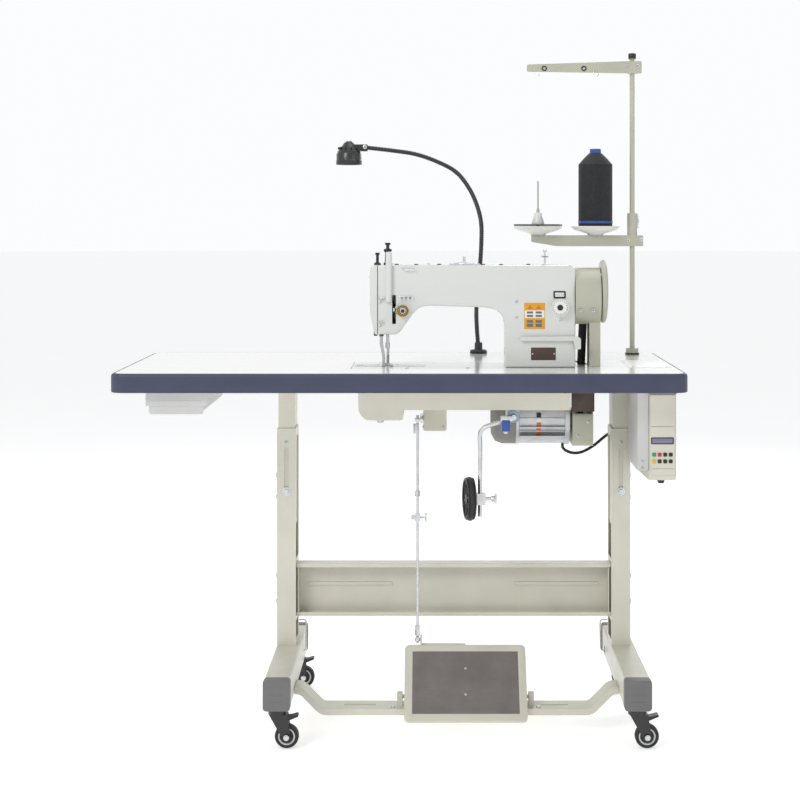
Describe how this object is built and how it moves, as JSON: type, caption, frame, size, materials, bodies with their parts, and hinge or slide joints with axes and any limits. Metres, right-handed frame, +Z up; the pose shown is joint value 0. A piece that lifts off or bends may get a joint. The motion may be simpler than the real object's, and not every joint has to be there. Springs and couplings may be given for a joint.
{
  "type": "industrial sewing machine",
  "caption": "Walking-foot industrial sewing machine on a height-adjustable rolling table with servo motor, treadle, knee lifter, lamp and thread stand.",
  "frame": {"origin": "on the floor, below the middle of the table", "axes": "+Z up; +X to the operator's right, where the handwheel is; +Y away from the operator"},
  "size_m": [1.2, 0.604, 1.492],
  "materials": {
    "cream_paint": "light grey-cream powder coat",
    "head_paint": "light grey gloss enamel",
    "guard_paint": "grey-green satin enamel",
    "white_laminate": "white laminated board",
    "navy_edge": "blue-grey moulded edge",
    "grey_plastic": "warm grey moulded plastic",
    "light_plastic": "light grey moulded plastic",
    "white_plastic": "white moulded plastic",
    "black_plastic": "black moulded plastic",
    "black_metal": "black lacquer",
    "wheel_tread": "black tread with a light ring",
    "rubber_mat": "ribbed taupe rubber",
    "belt_rubber": "black V-belt",
    "lead_sheath": "black flexible sheath",
    "zinc_steel": "bright zinc plate",
    "brushed_steel": "ground steel",
    "motor_alloy": "die-cast alloy, silver paint",
    "black_thread": "wound black thread"
  },
  "bodies": {
    "base": {"left_leg": "cream_paint", "right_leg": "cream_paint", "crossbar": "cream_paint", "treadle_bar": "cream_paint"},
    "table": {"table_top": "white_laminate", "table_edge": "navy_edge", "left_inner_column": "cream_paint", "right_inner_column": "cream_paint", "drawer_runner": "light_plastic", "oil_pan": "cream_paint", "speed_unit": "cream_paint", "motor_body": "motor_alloy", "motor_end_cap": "grey_plastic", "lower_belt_guard": "guard_paint", "belt": "belt_rubber", "control_box": "cream_paint", "control_heat_sink": "light_plastic", "control_panel": "cream_paint", "motor_lead": "lead_sheath", "stand_pole": "guard_paint"},
    "drawer": {"drawer_tray": "light_plastic"},
    "knee_lifter": {"knee_lifter_rod": "zinc_steel", "knee_lifter_pad": "black_plastic"},
    "speed_lever": {"speed_lever": "zinc_steel"},
    "motor_pulley": {"motor_pulley": "brushed_steel"},
    "lamp_stem": {"lamp_stem": "black_metal"},
    "lamp_head": {"lamp_head": "black_metal"},
    "guide_arm": {"thread_guide_arm": "guard_paint"},
    "spool_arm": {"spool_arm": "guard_paint", "spool_disc": "black_plastic"},
    "thread_cone": {"thread_cone": "black_thread"},
    "head": {"machine_arm": "head_paint", "face_plate": "head_paint", "machine_bed": "head_paint", "upper_belt_guard": "guard_paint"},
    "handwheel": {"handwheel": "guard_paint"},
    "needle_bar": {"needle_bar": "brushed_steel"},
    "presser_foot": {"presser_foot": "brushed_steel"},
    "walking_foot": {"walking_foot": "brushed_steel"},
    "take_up_lever": {"take_up_lever": "zinc_steel"},
    "reverse_lever": {"reverse_lever": "head_paint"},
    "stitch_dial": {"stitch_dial": "white_plastic"},
    "tension_dial": {"tension_dial": "zinc_steel"},
    "bobbin_winder": {"bobbin_winder": "zinc_steel"},
    "rotary_hook": {"rotary_hook": "brushed_steel"},
    "treadle": {"treadle_frame": "cream_paint", "treadle_mat": "rubber_mat"},
    "treadle_rod": {"treadle_rod": "zinc_steel"},
    "caster_fork_front_left": {"caster_fork_front_left": "black_metal"},
    "caster_wheel_front_left": {"caster_wheel_front_left": "wheel_tread"},
    "caster_brake_front_left": {"caster_brake_front_left": "black_plastic"},
    "caster_fork_front_right": {"caster_fork_front_right": "black_metal"},
    "caster_wheel_front_right": {"caster_wheel_front_right": "wheel_tread"},
    "caster_brake_front_right": {"caster_brake_front_right": "black_plastic"},
    "caster_fork_rear_left": {"caster_fork_rear_left": "black_metal"},
    "caster_wheel_rear_left": {"caster_wheel_rear_left": "wheel_tread"},
    "caster_brake_rear_left": {"caster_brake_rear_left": "black_plastic"},
    "caster_fork_rear_right": {"caster_fork_rear_right": "black_metal"},
    "caster_wheel_rear_right": {"caster_wheel_rear_right": "wheel_tread"},
    "caster_brake_rear_right": {"caster_brake_rear_right": "black_plastic"}
  },
  "joints": [
    {"name": "table_height", "type": "slide", "parent": "base", "child": "table", "axis": [0, 0, 1], "range_m": [0, 0.09]},
    {"name": "head_tilt", "type": "hinge", "parent": "table", "child": "head", "pos_m": [0.13, 0.007, 0.78], "axis": [-1, 0, 0], "range_deg": [0, 65], "deforming": ["belt"]},
    {"name": "handwheel_turn", "type": "hinge", "parent": "head", "child": "handwheel", "pos_m": [0.4, -0.086, 0.942], "axis": [1, 0, 0], "continuous": true},
    {"name": "motor_pulley_turn", "type": "hinge", "parent": "table", "child": "motor_pulley", "pos_m": [0.4, 0.06, 0.655], "axis": [1, 0, 0], "continuous": true},
    {"name": "hook_turn", "type": "hinge", "parent": "head", "child": "rotary_hook", "pos_m": [0.1, -0.086, 0.745], "axis": [1, 0, 0], "continuous": true},
    {"name": "needle_bar_stroke", "type": "slide", "parent": "head", "child": "needle_bar", "axis": [0, 0, 1], "range_m": [-0.016, 0.02]},
    {"name": "take_up_swing", "type": "hinge", "parent": "head", "child": "take_up_lever", "pos_m": [-0.014, -0.07, 0.905], "axis": [-1, 0, 0], "range_deg": [-16, 20]},
    {"name": "knee_lift", "type": "hinge", "parent": "table", "child": "knee_lifter", "pos_m": [0.243, -0.1, 0.6747], "axis": [0, -1, 0], "range_deg": [0, 18]},
    {"name": "presser_lift", "type": "slide", "parent": "head", "child": "presser_foot", "axis": [0, 0, 1], "range_m": [0, 0.013]},
    {"name": "walking_foot_lift", "type": "slide", "parent": "head", "child": "walking_foot", "axis": [0, 0, 1], "range_m": [0, 0.013]},
    {"name": "reverse_press", "type": "hinge", "parent": "head", "child": "reverse_lever", "pos_m": [0.366, -0.147, 0.842], "axis": [0, -1, 0], "range_deg": [0, 12], "stiffness_Nm_per_rad": 0.5, "springref_deg": -17.19},
    {"name": "stitch_dial_turn", "type": "hinge", "parent": "head", "child": "stitch_dial", "pos_m": [0.343, -0.14, 0.91], "axis": [0, -1, 0], "range_deg": [0, 300]},
    {"name": "tension_dial_turn", "type": "hinge", "parent": "head", "child": "tension_dial", "pos_m": [0.005, -0.14, 0.903], "axis": [0, -1, 0], "range_deg": [-180, 180]},
    {"name": "winder_turn", "type": "hinge", "parent": "head", "child": "bobbin_winder", "pos_m": [0.138, -0.086, 1], "axis": [0, 0, 1], "continuous": true},
    {"name": "treadle_tilt", "type": "hinge", "parent": "base", "child": "treadle", "pos_m": [0.14, -0.134, 0.07], "axis": [1, 0, 0], "range_deg": [-9, 6]},
    {"name": "treadle_rod_swing", "type": "hinge", "parent": "treadle", "child": "treadle_rod", "pos_m": [0.036, -0.07169, 0.17806], "axis": [1, 0, 0], "range_deg": [-8, 12]},
    {"name": "speed_lever_swing", "type": "hinge", "parent": "table", "child": "speed_lever", "pos_m": [0.044, -0.005, 0.658], "axis": [1, 0, 0], "range_deg": [-9, 13]},
    {"name": "drawer_pull", "type": "slide", "parent": "table", "child": "drawer", "axis": [0, -1, 0], "range_m": [0, 0.26]},
    {"name": "lamp_swivel", "type": "hinge", "parent": "table", "child": "lamp_stem", "pos_m": [0.178, 0.274, 0.78], "axis": [0, 0, 1], "range_deg": [-10, 60]},
    {"name": "lamp_head_tilt", "type": "hinge", "parent": "lamp_stem", "child": "lamp_head", "pos_m": [-0.092, 0.274, 1.271], "axis": [0, 1, 0], "range_deg": [-35, 35]},
    {"name": "guide_arm_swivel", "type": "hinge", "parent": "table", "child": "guide_arm", "pos_m": [0.541, 0.241, 1.45], "axis": [0, 0, 1], "range_deg": [-30, 30]},
    {"name": "spool_arm_swivel", "type": "hinge", "parent": "table", "child": "spool_arm", "pos_m": [0.541, 0.241, 1.05], "axis": [0, 0, 1], "range_deg": [-30, 30]},
    {"name": "thread_cone_lift", "type": "slide", "parent": "spool_arm", "child": "thread_cone", "axis": [0, 0, 1], "range_m": [0, 0.12]},
    {"name": "caster_swivel_front_left", "type": "hinge", "parent": "base", "child": "caster_fork_front_left", "pos_m": [-0.254, -0.271, 0.083], "axis": [0, 0, 1], "continuous": true},
    {"name": "caster_roll_front_left", "type": "hinge", "parent": "caster_fork_front_left", "child": "caster_wheel_front_left", "pos_m": [-0.234, -0.271, 0.025], "axis": [0, 1, 0], "continuous": true},
    {"name": "caster_brake_front_left", "type": "hinge", "parent": "caster_fork_front_left", "child": "caster_brake_front_left", "pos_m": [-0.239, -0.271, 0.062], "axis": [0, 1, 0], "range_deg": [0, 20]},
    {"name": "caster_swivel_front_right", "type": "hinge", "parent": "base", "child": "caster_fork_front_right", "pos_m": [0.495, -0.271, 0.083], "axis": [0, 0, 1], "continuous": true},
    {"name": "caster_roll_front_right", "type": "hinge", "parent": "caster_fork_front_right", "child": "caster_wheel_front_right", "pos_m": [0.515, -0.271, 0.025], "axis": [0, 1, 0], "continuous": true},
    {"name": "caster_brake_front_right", "type": "hinge", "parent": "caster_fork_front_right", "child": "caster_brake_front_right", "pos_m": [0.51, -0.271, 0.062], "axis": [0, 1, 0], "range_deg": [0, 20]},
    {"name": "caster_swivel_rear_left", "type": "hinge", "parent": "base", "child": "caster_fork_rear_left", "pos_m": [-0.254, 0.214, 0.083], "axis": [0, 0, 1], "continuous": true},
    {"name": "caster_roll_rear_left", "type": "hinge", "parent": "caster_fork_rear_left", "child": "caster_wheel_rear_left", "pos_m": [-0.234, 0.214, 0.025], "axis": [0, 1, 0], "continuous": true},
    {"name": "caster_brake_rear_left", "type": "hinge", "parent": "caster_fork_rear_left", "child": "caster_brake_rear_left", "pos_m": [-0.239, 0.214, 0.062], "axis": [0, 1, 0], "range_deg": [0, 20]},
    {"name": "caster_swivel_rear_right", "type": "hinge", "parent": "base", "child": "caster_fork_rear_right", "pos_m": [0.495, 0.214, 0.083], "axis": [0, 0, 1], "continuous": true},
    {"name": "caster_roll_rear_right", "type": "hinge", "parent": "caster_fork_rear_right", "child": "caster_wheel_rear_right", "pos_m": [0.515, 0.214, 0.025], "axis": [0, 1, 0], "continuous": true},
    {"name": "caster_brake_rear_right", "type": "hinge", "parent": "caster_fork_rear_right", "child": "caster_brake_rear_right", "pos_m": [0.51, 0.214, 0.062], "axis": [0, 1, 0], "range_deg": [0, 20]}
  ],
  "couplings": [
    {"joint": "motor_pulley_turn", "follows": "handwheel_turn", "ratio": 1.125},
    {"joint": "hook_turn", "follows": "handwheel_turn", "ratio": -2},
    {"joint": "take_up_swing", "follows": "needle_bar_stroke", "rad_per_m": 17},
    {"joint": "presser_lift", "follows": "knee_lift", "m_per_rad": 0.04},
    {"joint": "walking_foot_lift", "follows": "knee_lift", "m_per_rad": 0.04},
    {"joint": "treadle_rod_swing", "follows": "treadle_tilt", "ratio": -1.225},
    {"joint": "speed_lever_swing", "follows": "treadle_tilt", "ratio": -1.4}
  ]
}
